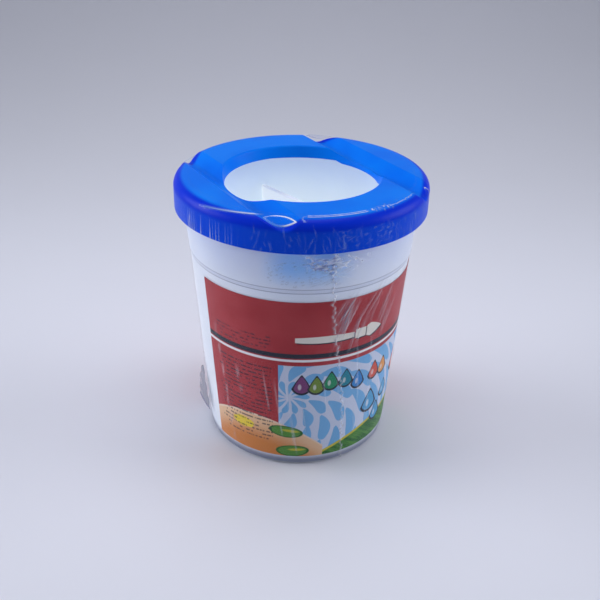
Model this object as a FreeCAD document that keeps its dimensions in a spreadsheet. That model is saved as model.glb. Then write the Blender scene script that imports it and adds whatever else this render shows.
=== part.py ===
import FreeCAD, Part
import math
import os
import Sketcher

# A paint-water pot: a tapered translucent cup with an upright partition, a press-on lid with a round
# mouth and two brush grooves, a wrap label, and the shrink film round cup and lid.
# Millimetres. +Z is up, the origin is the centre of the foot, and the brush grooves run along Y.

SIZES = [
    # overall
    ("height", 96.1),              # foot to the flat top of the lid
    ("lid_radius", 42.0),
    ("cup_taper", 6.65),           # how much smaller the cup's radius is at the foot than at the rim
    # cup
    ("cup_wall", 1.4),
    ("cup_floor", 1.6),
    ("foot_height", 1.2),
    ("foot_width", 3.4),
    ("foot_corner", 0.8),
    ("cup_inner_corner", 3.0),
    ("step_drop", 21.0),           # rim to the foot of the small step above the label
    ("step_rise", 1.6),
    ("step_depth", 0.35),
    ("bead_depth", 0.55),
    ("bead_height", 2.4),
    # lid
    ("lid_wall", 1.6),
    ("skirt_height", 10.2),
    ("lid_edge_round", 3.5),
    ("mouth_radius", 25.5),        # also the offset of the grooves, which run along the mouth's edge
    ("mouth_depth", 3.9),
    ("mouth_flare", 1.0),
    ("lid_soften", 0.8),           # rounding of the edges round the lid's flat tops
    ("groove_half_width", 5.1),
    ("groove_point_depth", 3.66),  # to the point of the V, before its floor is rounded
    ("groove_floor_radius", 2.5),
    ("groove_keel_half", 2.4),     # half width of the flat under each groove
    ("plug_height", 3.0),          # how far the plug ring reaches below the seat
    ("plug_wall", 1.3),
    ("snap_height", 1.0),
    # divider
    ("divider_drop", 12.8),        # rim to the divider's top edge
    ("divider_thickness", 1.7),
    ("divider_offset", 11.2),      # pot's axis to the middle of the divider
    ("divider_turn", 9.9),         # degrees from the grooves' normal
    ("divider_top_round", 0.6),
    ("rib_drop", 12.6),            # divider's top edge to the tops of its guide ribs
    ("rib_depth", 1.6),
    ("rib_width", 1.3),
    # label
    ("label_bottom", 3.75),
    ("label_drop", 3.1),           # step to the label's top edge
    ("label_thickness", 0.15),
    ("label_start", 183.2),        # degrees
    ("label_sweep", 324.0),        # degrees
    # film
    ("film_thickness", 0.12),
    ("film_foot", 0.9),
    ("film_reach", 6.9),           # skirt's lower edge to where the sleeve leaves the cup's wall
    ("film_fold", 5.5),            # lid's outside to the film's inner edge on its top
    # clearances
    ("seat_gap", 0.05),            # rim to the lid's seat
    ("bead_play", 0.65),           # rim bead to the skirt
    ("plug_gap", 0.15),
    ("snap_gap", 0.10),
    ("divider_gap", 0.15),
    ("label_gap", 0.05),
    ("film_gap", 0.45),            # cup wall to the sleeve, which clears the label and the step
    ("lid_film_gap", 0.08),
]

doc = FreeCAD.newDocument("paint_water_pot")
sheet = doc.addObject("Spreadsheet::Sheet", "Sizes")
for row, (alias, value) in enumerate(SIZES, start=1):
    sheet.set("A%d" % row, alias)
    sheet.set("B%d" % row, str(value))
    sheet.setAlias("B%d" % row, alias)
doc.recompute()


# ---- places worked out from the sizes, as expressions ----

GROOVE_SLANT = "sqrt(1 + pow(Sizes.groove_point_depth / Sizes.groove_half_width; 2))"
GROOVE_DEPTH = "(Sizes.groove_point_depth - Sizes.groove_floor_radius * (%s - 1))" % GROOVE_SLANT
SEAT_Z = "(Sizes.height - %s - Sizes.lid_wall)" % GROOVE_DEPTH
RIM_Z = "(%s - Sizes.seat_gap)" % SEAT_Z
PLATE_Z = "(Sizes.height - Sizes.lid_wall)"
SKIRT_Z = "(Sizes.height - Sizes.skirt_height)"
FLOOR_Z = "(Sizes.foot_height + Sizes.cup_floor)"
PLUG_Z = "(%s - Sizes.plug_height)" % SEAT_Z
BEAD_Z = "(%s - Sizes.bead_height)" % RIM_Z
STEP_Z = "(%s - Sizes.step_drop)" % RIM_Z
LABEL_Z = "(%s - Sizes.label_drop)" % STEP_Z
DIVIDER_Z = "(%s - Sizes.divider_drop)" % RIM_Z
MOUTH_Z = "(Sizes.height - Sizes.mouth_depth)"
SKIRT_INNER = "(Sizes.lid_radius - Sizes.lid_wall)"
BEAD_OUTER = "(%s - Sizes.bead_play)" % SKIRT_INNER
RIM_RADIUS = "(%s - Sizes.bead_depth - Sizes.step_depth)" % BEAD_OUTER
BASE_RADIUS = "(%s - Sizes.cup_taper)" % RIM_RADIUS


def wall_at(z):
    """Outside radius of the plain tapered cup wall at height z."""
    return "(%s + Sizes.cup_taper * (%s) / %s)" % (BASE_RADIUS, z, RIM_Z)


def inside_at(z):
    """Inside radius of the cup at height z."""
    return "(%s - Sizes.cup_wall)" % wall_at(z)


def upper_at(z):
    """Outside radius of the wall above the step at height z."""
    return "(%s + Sizes.step_depth)" % wall_at(z)


def plus(base, more):
    """The sum of two expressions."""
    return "(%s + %s)" % (base, more)


def minus(base, less):
    """The difference of two expressions."""
    return "(%s - %s)" % (base, less)


def chord_at(radius, across):
    """Half length of a circle's chord at a distance from its centre."""
    return "sqrt(pow(%s; 2) - pow(%s; 2))" % (radius, across)


def number(expression):
    """The present value of an expression."""
    value = sheet.evalExpression(str(expression))
    return float(getattr(value, "Value", value))


# ---- helpers ----

def origin_plane(body, role):
    """One of the body's own origin planes."""
    return next(part for part in body.Origin.OriginFeatures if part.Role == role)


def new_body(label):
    """A new body whose label names its file."""
    body = doc.addObject("PartDesign::Body", label)
    body.Label = label
    return body


def arc_between(start, end, radius):
    """The shorter counterclockwise arc between two points."""
    chord = end - start
    aside = FreeCAD.Vector(-chord.y, chord.x, 0).normalize()
    centre = (start + end) / 2 + aside * math.sqrt(radius ** 2 - (chord.Length / 2) ** 2)
    angles = [math.atan2(point.y - centre.y, point.x - centre.x) for point in (start, end)]
    return Part.ArcOfCircle(Part.Circle(centre, FreeCAD.Vector(0, 0, 1), radius), *angles)


def outline(body, name, role, corners, offset=None, arc=None):
    """A closed sketch. Each corner is a pair of expressions, and the edges between them are straight.

    arc is None, or the number of the edge that is a counterclockwise arc and its radius.
    """
    sketch = body.newObject("Sketcher::SketchObject", name)
    sketch.AttachmentSupport = [(origin_plane(body, role), "")]
    sketch.MapMode = "FlatFace"
    if offset:
        sketch.setExpression("AttachmentOffset.Base.z", offset)
    points = [FreeCAD.Vector(number(across), number(up), 0) for across, up in corners]
    count = len(points)
    for index in range(count):
        start, end = points[index], points[(index + 1) % count]
        if arc and arc[0] == index:
            sketch.addGeometry(arc_between(start, end, number(arc[1])))
        else:
            sketch.addGeometry(Part.LineSegment(start, end))
    for index in range(count):
        sketch.addConstraint(Sketcher.Constraint("Coincident", index, 2, (index + 1) % count, 1))
    for index, (across, up) in enumerate(corners):
        for kind, value in (("DistanceX", across), ("DistanceY", up)):
            place = sketch.addConstraint(Sketcher.Constraint(kind, -1, 1, index, 1, number(value)))
            sketch.setExpression("Constraints[%d]" % place, str(value))
    if arc:
        place = sketch.addConstraint(Sketcher.Constraint("Radius", arc[0], number(arc[1])))
        sketch.setExpression("Constraints[%d]" % place, str(arc[1]))
    doc.recompute()
    return sketch


def revolve(body, name, corners, sweep="360"):
    """A solid turned about Z from corners given as radius and height."""
    sketch = outline(body, name + "_outline", "XZ_Plane", corners)
    turned = body.newObject("PartDesign::Revolution", name)
    turned.Profile = sketch
    turned.ReferenceAxis = (sketch, ["V_Axis"])
    turned.setExpression("Angle", sweep)
    doc.recompute()
    return turned


def add_ring(body, name, corners):
    """A ring turned about Z and added to the body."""
    before = body.Shape.Volume
    ring = revolve(body, name, corners)
    if not body.Shape.Volume > before:
        raise RuntimeError(name + " adds nothing")
    return ring


def turn_away(body, name, corners):
    """A cut turned about Z from corners given as radius and height."""
    before = body.Shape.Volume
    sketch = outline(body, name + "_outline", "XZ_Plane", corners)
    cut = body.newObject("PartDesign::Groove", name)
    cut.Profile = sketch
    cut.ReferenceAxis = (sketch, ["V_Axis"])
    cut.Angle = 360
    doc.recompute()
    if not body.Shape.Volume < before:
        raise RuntimeError(name + " cuts nothing")
    return cut


def extrude(body, name, role, corners, length, cut=False, offset=None, arc=None):
    """A prism, or the cut of one, to both sides of an origin plane or of one offset from it."""
    before = body.Shape.Volume if body.Tip else 0.0
    sketch = outline(body, name + "_outline", role, corners, offset, arc)
    kind = "PartDesign::Pocket" if cut else "PartDesign::Pad"
    prism = body.newObject(kind, name)
    prism.Profile = sketch
    prism.Midplane = True
    prism.setExpression("Length", length)
    doc.recompute()
    if (body.Shape.Volume < before) != cut:
        raise RuntimeError(name + " changes the solid the wrong way")
    return prism


def ring_edges(shape, radius, z):
    """Names of the circular edges with this radius at this height."""
    names = []
    for index, edge in enumerate(shape.Edges, start=1):
        curve = edge.Curve
        if not isinstance(curve, Part.Circle):
            continue
        if abs(curve.Radius - number(radius)) < 1e-3 and abs(curve.Center.z - number(z)) < 1e-3:
            names.append("Edge%d" % index)
    return names


def level_edges(shape, z, reach):
    """Names of the edges that lie at one height, with their middle within reach of the axis."""
    names = []
    for index, edge in enumerate(shape.Edges, start=1):
        middle = edge.valueAt((edge.FirstParameter + edge.LastParameter) / 2)
        points = [vertex.Point for vertex in edge.Vertexes] + [middle]
        level = all(abs(point.z - number(z)) < 1e-3 for point in points)
        if level and middle.x ** 2 + middle.y ** 2 < number(reach) ** 2:
            names.append("Edge%d" % index)
    return names


def straight_edges(shape, axis, keep):
    """Names of the straight edges along an axis whose middle point passes the test."""
    names = []
    for index, edge in enumerate(shape.Edges, start=1):
        if not isinstance(edge.Curve, Part.Line):
            continue
        middle = edge.valueAt((edge.FirstParameter + edge.LastParameter) / 2)
        if abs(abs(edge.tangentAt(edge.FirstParameter).dot(axis)) - 1) < 1e-6 and keep(middle):
            names.append("Edge%d" % index)
    return names


def round_edges(body, name, edges, radius):
    """A fillet on named edges of the body's last feature."""
    if not edges:
        raise RuntimeError(name + " finds no edge")
    base = body.Tip
    fillet = body.newObject("PartDesign::Fillet", name)
    fillet.Base = (base, edges)
    fillet.setExpression("Radius", radius)
    doc.recompute()
    return fillet


def place(body, turn=None):
    """Stand the body on the pot's axis, turned about it by a named angle."""
    upright = FreeCAD.Rotation(FreeCAD.Vector(0, 0, 1), number(turn or 0))
    body.Placement = FreeCAD.Placement(FreeCAD.Vector(0, 0, 0), upright)
    if turn:
        body.setExpression("Placement.Rotation.Angle", turn)
    doc.recompute()
    return body


# ---- the cup ----

def guide_rib(body, name, side, way):
    """One upright rib inside the cup, beside an edge of the divider.

    side is 1 beyond the divider and -1 nearer the axis; way is 1 at the back and -1 in front.
    """
    gap = "(Sizes.divider_thickness / 2 + Sizes.divider_gap)"
    near = "(Sizes.divider_offset + %d * %s)" % (side, gap)
    far = "(Sizes.divider_offset + %d * (%s + Sizes.rib_width))" % (side, gap)
    widest = far if side > 0 else near
    middle = "((%s + %s) / 2)" % (near, far)
    low = "(%s - Sizes.cup_floor / 2)" % FLOOR_Z
    high = "(%s - Sizes.rib_drop)" % DIVIDER_Z

    def outer(z):
        return "(%d * %s)" % (way, chord_at(plus(inside_at(z), "Sizes.cup_wall / 2"), widest))

    def inner(z):
        return "(%d * (%s - Sizes.rib_depth))" % (way, chord_at(inside_at(z), widest))

    corners = [(inner(low), low), (outer(low), low), (outer(high), high), (inner(high), high)]
    extrude(body, name, "YZ_Plane", corners, "Sizes.rib_width", offset=middle)


def make_cup():
    """Tapered cup with a foot ring, a step above the label, a rim bead and the divider's ribs."""
    body = new_body("cup")
    step_top = plus(STEP_Z, "Sizes.step_rise")
    foot_outer = minus(BASE_RADIUS, "Sizes.foot_corner")
    foot_inner = minus(foot_outer, "Sizes.foot_width")
    revolve(body, "cup_shell", [
        ("0", "Sizes.foot_height"),
        (foot_inner, "Sizes.foot_height"),
        (plus(foot_inner, "Sizes.foot_height / 2"), "0"),
        (foot_outer, "0"),
        (wall_at("Sizes.foot_corner"), "Sizes.foot_corner"),
        (wall_at(STEP_Z), STEP_Z),
        (upper_at(step_top), step_top),
        (upper_at(BEAD_Z), BEAD_Z),
        (BEAD_OUTER, plus(BEAD_Z, "Sizes.bead_depth")),
        (BEAD_OUTER, RIM_Z),
        (inside_at(RIM_Z), RIM_Z),
        (inside_at(FLOOR_Z), FLOOR_Z),
        ("0", FLOOR_Z),
    ])
    edges = ring_edges(body.Shape, inside_at(FLOOR_Z), FLOOR_Z)
    round_edges(body, "cup_inner_round", edges, "Sizes.cup_inner_corner")
    edges = ring_edges(body.Shape, BEAD_OUTER, RIM_Z)
    round_edges(body, "rim_round", edges, "Sizes.bead_depth")
    for side, beside in ((-1, "inner"), (1, "outer")):
        for way, end in ((1, "back"), (-1, "front")):
            guide_rib(body, "rib_%s_%s" % (beside, end), side, way)
    return place(body, "Sizes.divider_turn")


def make_divider():
    """Upright partition that follows the cup's taper between its ribs."""
    body = new_body("divider")
    far = "(Sizes.divider_offset + Sizes.divider_thickness / 2)"
    low = plus(FLOOR_Z, "Sizes.divider_gap")
    high = DIVIDER_Z
    corner = "(Sizes.cup_inner_corner + Sizes.divider_gap)"
    shoulder = plus(low, corner)

    def half(z):
        return minus(chord_at(inside_at(z), far), "Sizes.divider_gap")

    foot = minus(half(low), corner)
    extrude(body, "divider_plate", "YZ_Plane", [
        ("(-%s)" % foot, low),
        (foot, low),
        (half(shoulder), shoulder),
        (half(high), high),
        ("(-%s)" % half(high), high),
        ("(-%s)" % half(shoulder), shoulder),
    ], "Sizes.divider_thickness", offset="Sizes.divider_offset")
    top = number(high)
    edges = straight_edges(body.Shape, FreeCAD.Vector(0, 1, 0), lambda middle: abs(middle.z - top) < 1e-3)
    round_edges(body, "divider_top_round", edges, "Sizes.divider_top_round")
    return place(body, "Sizes.divider_turn")


# ---- the lid ----

def groove_keel(body, name, sign):
    """The thickening under one brush groove, a flat-bottomed keel below the plate."""
    centre = "(%d * Sizes.mouth_radius)" % sign
    top = plus(PLATE_Z, "Sizes.lid_wall / 2")
    reach = "(Sizes.groove_half_width + Sizes.lid_wall - Sizes.groove_keel_half)"
    wide = "(Sizes.groove_keel_half + (%s - %s) * %s / %s)" % (top, SEAT_Z, reach, GROOVE_DEPTH)
    extrude(body, name, "XZ_Plane", [
        ("(%s - Sizes.groove_keel_half)" % centre, SEAT_Z),
        ("(%s + Sizes.groove_keel_half)" % centre, SEAT_Z),
        ("(%s + %s)" % (centre, wide), top),
        ("(%s - %s)" % (centre, wide), top),
    ], "(2 * %s)" % chord_at("Sizes.lid_radius", "Sizes.mouth_radius"))


def groove_cut(body, name, sign):
    """One V groove right across the lid, its floor rounded between the two slopes."""
    centre = "(%d * Sizes.mouth_radius)" % sign
    steepness = "(Sizes.groove_point_depth / Sizes.groove_half_width)"
    above = "Sizes.lid_wall"
    flare = "(Sizes.groove_half_width + %s / %s)" % (above, steepness)
    top = plus("Sizes.height", above)
    tangent = "(Sizes.groove_floor_radius * %s / %s)" % (steepness, GROOVE_SLANT)
    low = "(Sizes.height - %s + Sizes.groove_floor_radius * (1 - 1 / %s))" % (GROOVE_DEPTH, GROOVE_SLANT)
    extrude(body, name, "XZ_Plane", [
        (minus(centre, tangent), low),
        (plus(centre, tangent), low),
        (plus(centre, flare), top),
        (minus(centre, flare), top),
    ], "(3 * Sizes.lid_radius)", cut=True, arc=(0, "Sizes.groove_floor_radius"))


def make_lid():
    """Lid with a skirt, snap bead, seat and plug rings, two brush grooves and a bevelled mouth."""
    body = new_body("lid")
    snap_radius = plus(BEAD_OUTER, "Sizes.snap_gap")
    snap_top = minus(BEAD_Z, "Sizes.snap_gap")
    snap_low = minus(snap_top, "Sizes.snap_height")
    plug_outer = minus(inside_at(PLUG_Z), "Sizes.plug_gap")
    plug_inner = minus(plug_outer, "Sizes.plug_wall")
    # the keels end inside the solid ring between the plug and the skirt
    keel_reach = "((%s + %s) / 2)" % (plug_outer, SKIRT_INNER)
    revolve(body, "plate", [
        ("0", "Sizes.height"),
        ("0", PLATE_Z),
        (keel_reach, PLATE_Z),
        (keel_reach, "Sizes.height"),
    ])
    for sign, name in ((-1, "left"), (1, "right")):
        groove_keel(body, "keel_" + name, sign)
    turn_away(body, "keel_trim", [
        (keel_reach, SKIRT_Z),
        ("(2 * Sizes.lid_radius)", SKIRT_Z),
        ("(2 * Sizes.lid_radius)", "Sizes.height"),
        (keel_reach, "Sizes.height"),
    ])
    add_ring(body, "lid_shell", [
        (plug_inner, "Sizes.height"),
        (plug_inner, PLUG_Z),
        (minus(plug_outer, "Sizes.plug_wall / 3"), PLUG_Z),
        (plug_outer, plus(PLUG_Z, "Sizes.plug_wall / 3")),
        (plug_outer, SEAT_Z),
        (SKIRT_INNER, SEAT_Z),
        (SKIRT_INNER, plus(snap_top, minus(SKIRT_INNER, snap_radius))),
        (snap_radius, snap_top),
        (snap_radius, plus(snap_low, "Sizes.snap_height / 2")),
        (SKIRT_INNER, snap_low),
        (SKIRT_INNER, SKIRT_Z),
        ("Sizes.lid_radius", SKIRT_Z),
        ("Sizes.lid_radius", "Sizes.height"),
    ])
    edges = ring_edges(body.Shape, "Sizes.lid_radius", "Sizes.height")
    round_edges(body, "lid_edge_round", edges, "Sizes.lid_edge_round")
    collar_inner = minus("Sizes.mouth_radius", "Sizes.lid_wall")
    collar_outer = plus("Sizes.mouth_radius", "Sizes.mouth_flare + Sizes.lid_wall")
    collar_top = plus(PLATE_Z, "Sizes.lid_wall / 2")
    add_ring(body, "mouth_collar", [
        (collar_inner, MOUTH_Z),
        (collar_outer, MOUTH_Z),
        (collar_outer, collar_top),
        (collar_inner, collar_top),
    ])
    for sign, name in ((-1, "left"), (1, "right")):
        groove_cut(body, "groove_" + name, sign)
    above = plus("Sizes.height", "Sizes.lid_wall")
    flare = "(Sizes.mouth_flare * (1 + Sizes.lid_wall / Sizes.mouth_depth))"
    turn_away(body, "mouth", [
        ("0", "(%s - Sizes.lid_wall)" % SEAT_Z),
        ("Sizes.mouth_radius", "(%s - Sizes.lid_wall)" % SEAT_Z),
        ("Sizes.mouth_radius", MOUTH_Z),
        (plus("Sizes.mouth_radius", flare), above),
        ("0", above),
    ])
    reach = minus("Sizes.lid_radius", "1.5 * Sizes.lid_edge_round")
    edges = level_edges(body.Shape, "Sizes.height", reach)
    round_edges(body, "lid_soften", edges, "Sizes.lid_soften")
    return place(body)


# ---- the label and the film ----

def make_label():
    """Printed wrap round the cup below its step, with a bare gap."""
    body = new_body("label")
    low, high = "Sizes.label_bottom", LABEL_Z

    def inner(z):
        return plus(wall_at(z), "Sizes.label_gap")

    def outer(z):
        return plus(inner(z), "Sizes.label_thickness")

    revolve(body, "label_wrap", [
        (inner(low), low),
        (outer(low), low),
        (outer(high), high),
        (inner(high), high),
    ], "Sizes.label_sweep")
    return place(body, "Sizes.label_start")


def make_sleeve_film():
    """Shrink film round the cup, leaving the wall at its top to reach the lid's lower edge."""
    body = new_body("sleeve_film")
    skin = "Sizes.film_thickness"
    low = "Sizes.film_foot"
    leave = minus(SKIRT_Z, "Sizes.film_reach")
    high = minus(SKIRT_Z, skin)

    def inner(z):
        return plus(wall_at(z), "Sizes.film_gap")

    edge = minus("Sizes.lid_radius", skin)
    revolve(body, "sleeve", [
        (inner(low), low),
        (plus(inner(low), skin), low),
        (plus(inner(leave), skin), leave),
        (plus(edge, skin), high),
        (edge, high),
        (inner(leave), leave),
    ])
    return place(body)


def make_lid_film():
    """Shrink film round the lid's skirt, folded over its edge on to the top."""
    body = new_body("lid_film")
    skin, gap = "Sizes.film_thickness", "Sizes.lid_film_gap"
    inner = plus("Sizes.lid_radius", gap)
    outer = plus(inner, skin)
    under = plus("Sizes.height", gap)
    over = plus(under, skin)
    fold = minus("Sizes.lid_radius", "Sizes.film_fold")
    revolve(body, "band", [
        (inner, SKIRT_Z),
        (outer, SKIRT_Z),
        (outer, over),
        (fold, over),
        (fold, under),
        (inner, under),
    ])
    edges = ring_edges(body.Shape, inner, under)
    round_edges(body, "band_inner_round", edges, plus("Sizes.lid_edge_round", gap))
    edges = ring_edges(body.Shape, outer, over)
    round_edges(body, "band_outer_round", edges, plus("Sizes.lid_edge_round", plus(gap, skin)))
    return place(body)


# ---- build, check and write ----

parts = [make_cup(), make_divider(), make_lid(), make_label(), make_sleeve_film(), make_lid_film()]
doc.recompute()
for item in doc.Objects:
    if "Invalid" in item.State or "Error" in item.State:
        raise RuntimeError("%s failed: %s" % (item.Name, item.State))
for item in parts:
    if item.Shape.isNull() or not item.Shape.isValid():
        raise RuntimeError(item.Label + " has no valid shape")
    if len(item.Shape.Solids) != 1:
        raise RuntimeError(item.Label + " is not one solid")

os.makedirs("parts", exist_ok=True)
for item in parts:
    item.Shape.exportStep("parts/%s.step" % item.Label)
    box = item.Shape.BoundBox
    print("%-12s volume %9.1f  x %.2f %.2f  y %.2f %.2f  z %.2f %.2f" % (
        item.Label, item.Shape.Volume, box.XMin, box.XMax, box.YMin, box.YMax, box.ZMin, box.ZMax))
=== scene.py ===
"""Looks of a lidded brush-washing pot: moulded lid and cup, printed wrap label and crinkled shrink film."""
import logging
import math
from dataclasses import dataclass, field
from enum import Enum
from typing import Callable, Optional, Sequence, Union

import bpy
import numpy as np
from mathutils import Matrix, Vector


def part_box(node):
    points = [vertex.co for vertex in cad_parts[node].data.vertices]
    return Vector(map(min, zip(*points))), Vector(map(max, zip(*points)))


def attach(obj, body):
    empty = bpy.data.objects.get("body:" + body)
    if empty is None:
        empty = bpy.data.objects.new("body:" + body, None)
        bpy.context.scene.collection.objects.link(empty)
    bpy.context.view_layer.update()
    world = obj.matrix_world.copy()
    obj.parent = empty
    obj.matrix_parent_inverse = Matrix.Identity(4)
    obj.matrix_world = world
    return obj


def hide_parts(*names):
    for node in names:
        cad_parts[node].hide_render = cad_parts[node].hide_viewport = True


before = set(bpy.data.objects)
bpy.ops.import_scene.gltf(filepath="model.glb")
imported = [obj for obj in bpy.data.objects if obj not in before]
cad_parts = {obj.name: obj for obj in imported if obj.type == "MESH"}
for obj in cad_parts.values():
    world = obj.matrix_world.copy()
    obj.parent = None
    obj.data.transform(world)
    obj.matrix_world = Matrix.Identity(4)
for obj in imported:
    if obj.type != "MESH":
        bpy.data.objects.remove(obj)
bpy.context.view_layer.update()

LOG = logging.getLogger("pot")
MM = 0.001
DEGREES = 180 / math.pi
PRINT_EDGE = 0.06   # half width in millimetres of the soft edge of printed ink

Number = Union[int, float]
Colour = tuple[float, float, float]
Socket = bpy.types.NodeSocket
Material = bpy.types.Material


def linear(red: Number, green: Number, blue: Number) -> Colour:
    """Turn an 8-bit display colour into scene-linear values.

    Args:
        red: the red channel, 0 to 255.
        green: the green channel.
        blue: the blue channel.

    Returns:
        The same colour as the shaders take it.
    """
    def channel(value: Number) -> float:
        """One channel, from the display curve to linear."""
        share = value / 255
        return share / 12.92 if share <= 0.04045 else ((share + 0.055) / 1.055) ** 2.4
    return (channel(red), channel(green), channel(blue))


def shade(colour: Colour, share: float) -> Colour:
    """A colour with its brightness scaled."""
    return tuple(channel * share for channel in colour)


# ---------------------------------------------------------------- shader maths

def operator(operation: str, flipped: bool = False) -> Callable[..., "Level"]:
    """A method of Level that adds one Math node.

    Args:
        operation: what the node works out.
        flipped: True to put the other value before self.

    Returns:
        The method.
    """
    def method(self: "Level", *others: "Operand") -> "Level":
        """Work out the operation on self and the others."""
        values = (*others, self) if flipped else (self, *others)
        made = self.graph.node("ShaderNodeMath", {"operation": operation}, dict(enumerate(values)))
        return Level(self.graph, made.outputs[0])
    return method


class Level:
    """A number that varies over a surface, with arithmetic that adds Math nodes."""

    def __init__(self, graph: "Graph", socket: Socket) -> None:
        """Wrap one output socket."""
        self.graph = graph
        self.socket = socket

    __add__ = operator("ADD")
    __radd__ = operator("ADD", flipped=True)
    __sub__ = operator("SUBTRACT")
    __rsub__ = operator("SUBTRACT", flipped=True)
    __mul__ = operator("MULTIPLY")
    __rmul__ = operator("MULTIPLY", flipped=True)
    __truediv__ = operator("DIVIDE")
    __pow__ = operator("POWER")
    __abs__ = operator("ABSOLUTE")
    __gt__ = operator("GREATER_THAN")
    floor = operator("FLOOR")
    part = operator("FRACT")
    root = operator("SQRT")
    sine = operator("SINE")
    at_most = operator("MINIMUM")
    at_least = operator("MAXIMUM")
    angle_from = operator("ARCTAN2")

    def ramp(self, low: float, high: float) -> "Level":
        """0 below low and 1 above high, eased between.

        Args:
            low: where the ramp starts; it may be above high for a falling ramp.
            high: where it ends.

        Returns:
            The eased level.
        """
        settings = {"interpolation_type": "SMOOTHSTEP"}
        inputs = {"Value": self, "From Min": low, "From Max": high}
        if low > high:
            inputs = {"Value": self, "From Min": high, "From Max": low, "To Min": 1.0, "To Max": 0.0}
        return Level(self.graph, self.graph.node("ShaderNodeMapRange", settings, inputs).outputs[0])

    def between(self, low: Number, high: Number, edge: float = PRINT_EDGE) -> "Level":
        """1 between two limits, with edges as soft as print."""
        return self.ramp(low - edge, low + edge) * self.ramp(high + edge, high - edge)


Operand = Union[Level, Number]
Source = Union[Level, Socket, Number, Sequence[float]]


class Graph:
    """The node tree of one material."""

    def __init__(self, name: str) -> None:
        """Start an empty material."""
        self.material = bpy.data.materials.new(name)
        self.material.use_nodes = True
        self.tree = self.material.node_tree
        self.tree.nodes.clear()
        self.out = self.tree.nodes.new("ShaderNodeOutputMaterial")

    def node(self, kind: str, settings: Optional[dict] = None,
             inputs: Optional[dict] = None) -> bpy.types.Node:
        """Add a node.

        Args:
            kind: the node's type.
            settings: its properties, set first.
            inputs: values or links of its sockets, by name or number.

        Returns:
            The node.
        """
        made = self.tree.nodes.new(kind)
        for name, value in (settings or {}).items():
            setattr(made, name, value)
        for name, value in (inputs or {}).items():
            self.feed(made.inputs[name], value)
        return made

    def feed(self, socket: Socket, value: Source) -> None:
        """Link a socket, or give it a value.

        Args:
            socket: the input to fill.
            value: a level or socket to link, or a number, colour or vector to set.
        """
        if isinstance(value, Level):
            self.tree.links.new(value.socket, socket)
        elif isinstance(value, Socket):
            self.tree.links.new(value, socket)
        elif isinstance(value, (int, float)):
            socket.default_value = value
        elif len(value) == 3 and socket.type == "RGBA":
            socket.default_value = (*value, 1.0)
        else:
            socket.default_value = value

    def place(self) -> tuple[Level, Level, Level]:
        """The point on the piece, in millimetres, as three levels.

        Returns:
            Its x, y and z.
        """
        spot = self.node("ShaderNodeTexCoord").outputs["Object"]
        scaled = self.node("ShaderNodeVectorMath", {"operation": "SCALE"}, {0: spot, "Scale": 1 / MM})
        axes = self.node("ShaderNodeSeparateXYZ", inputs={0: scaled.outputs[0]}).outputs
        return Level(self, axes[0]), Level(self, axes[1]), Level(self, axes[2])

    def vector(self, x: Source, y: Source, z: Source) -> Socket:
        """Three levels as one vector."""
        return self.node("ShaderNodeCombineXYZ", inputs={0: x, 1: y, 2: z}).outputs[0]

    def noise(self, vector: Socket, scale: float, detail: float = 2.0,
              rough: float = 0.5) -> Level:
        """Smooth noise of a vector in millimetres.

        Args:
            vector: the place.
            scale: features per millimetre.
            detail: octaves.
            rough: how strong the finer octaves are.

        Returns:
            A level round 0.5.
        """
        inputs = {"Vector": vector, "Scale": scale, "Detail": detail, "Roughness": rough}
        return Level(self, self.node("ShaderNodeTexNoise", inputs=inputs).outputs["Fac"])

    def dice(self, vector: Socket) -> Level:
        """A value from 0 to 1 that jumps from cell to cell."""
        made = self.node("ShaderNodeTexWhiteNoise", {"noise_dimensions": "3D"}, {"Vector": vector})
        return Level(self, made.outputs["Value"])

    def mix(self, share: Source, first: Source, second: Source) -> Socket:
        """A colour between two colours.

        Args:
            share: 0 for the first colour, 1 for the second.
            first: a colour or its socket.
            second: another.

        Returns:
            The mixed colour's socket.
        """
        made = self.node("ShaderNodeMix", {"data_type": "RGBA"})
        self.feed(made.inputs[0], share)
        self.feed(made.inputs[6], first)
        self.feed(made.inputs[7], second)
        return made.outputs[2]

    def attribute(self, name: str) -> Level:
        """A number stored on the mesh's points."""
        return Level(self, self.node("ShaderNodeAttribute", {"attribute_name": name}).outputs["Fac"])

    def bump(self, height: Level, depth: float, strength: float = 1.0) -> Socket:
        """A normal from a height.

        Args:
            height: level whose 0 to 1 is the full depth.
            depth: that depth in metres.
            strength: share of the effect.

        Returns:
            The normal's socket.
        """
        inputs = {"Height": height, "Distance": depth, "Strength": strength}
        return self.node("ShaderNodeBump", inputs=inputs).outputs["Normal"]

    def plastic(self, inputs: dict) -> Socket:
        """A Principled shader with these sockets set."""
        return self.node("ShaderNodeBsdfPrincipled", inputs=inputs).outputs["BSDF"]

    def finish(self, surface: Socket) -> Material:
        """Join the surface to the output.

        Args:
            surface: the shader's socket.

        Returns:
            The finished material.
        """
        self.tree.links.new(surface, self.out.inputs["Surface"])
        return self.material


# ---------------------------------------------------------------- finishes

WALL_AT_FOOT = 32.2     # outside radius of the cup's wall at its foot, in millimetres
WALL_FLARE = 0.0728     # how much that radius grows for each millimetre of height


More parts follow.
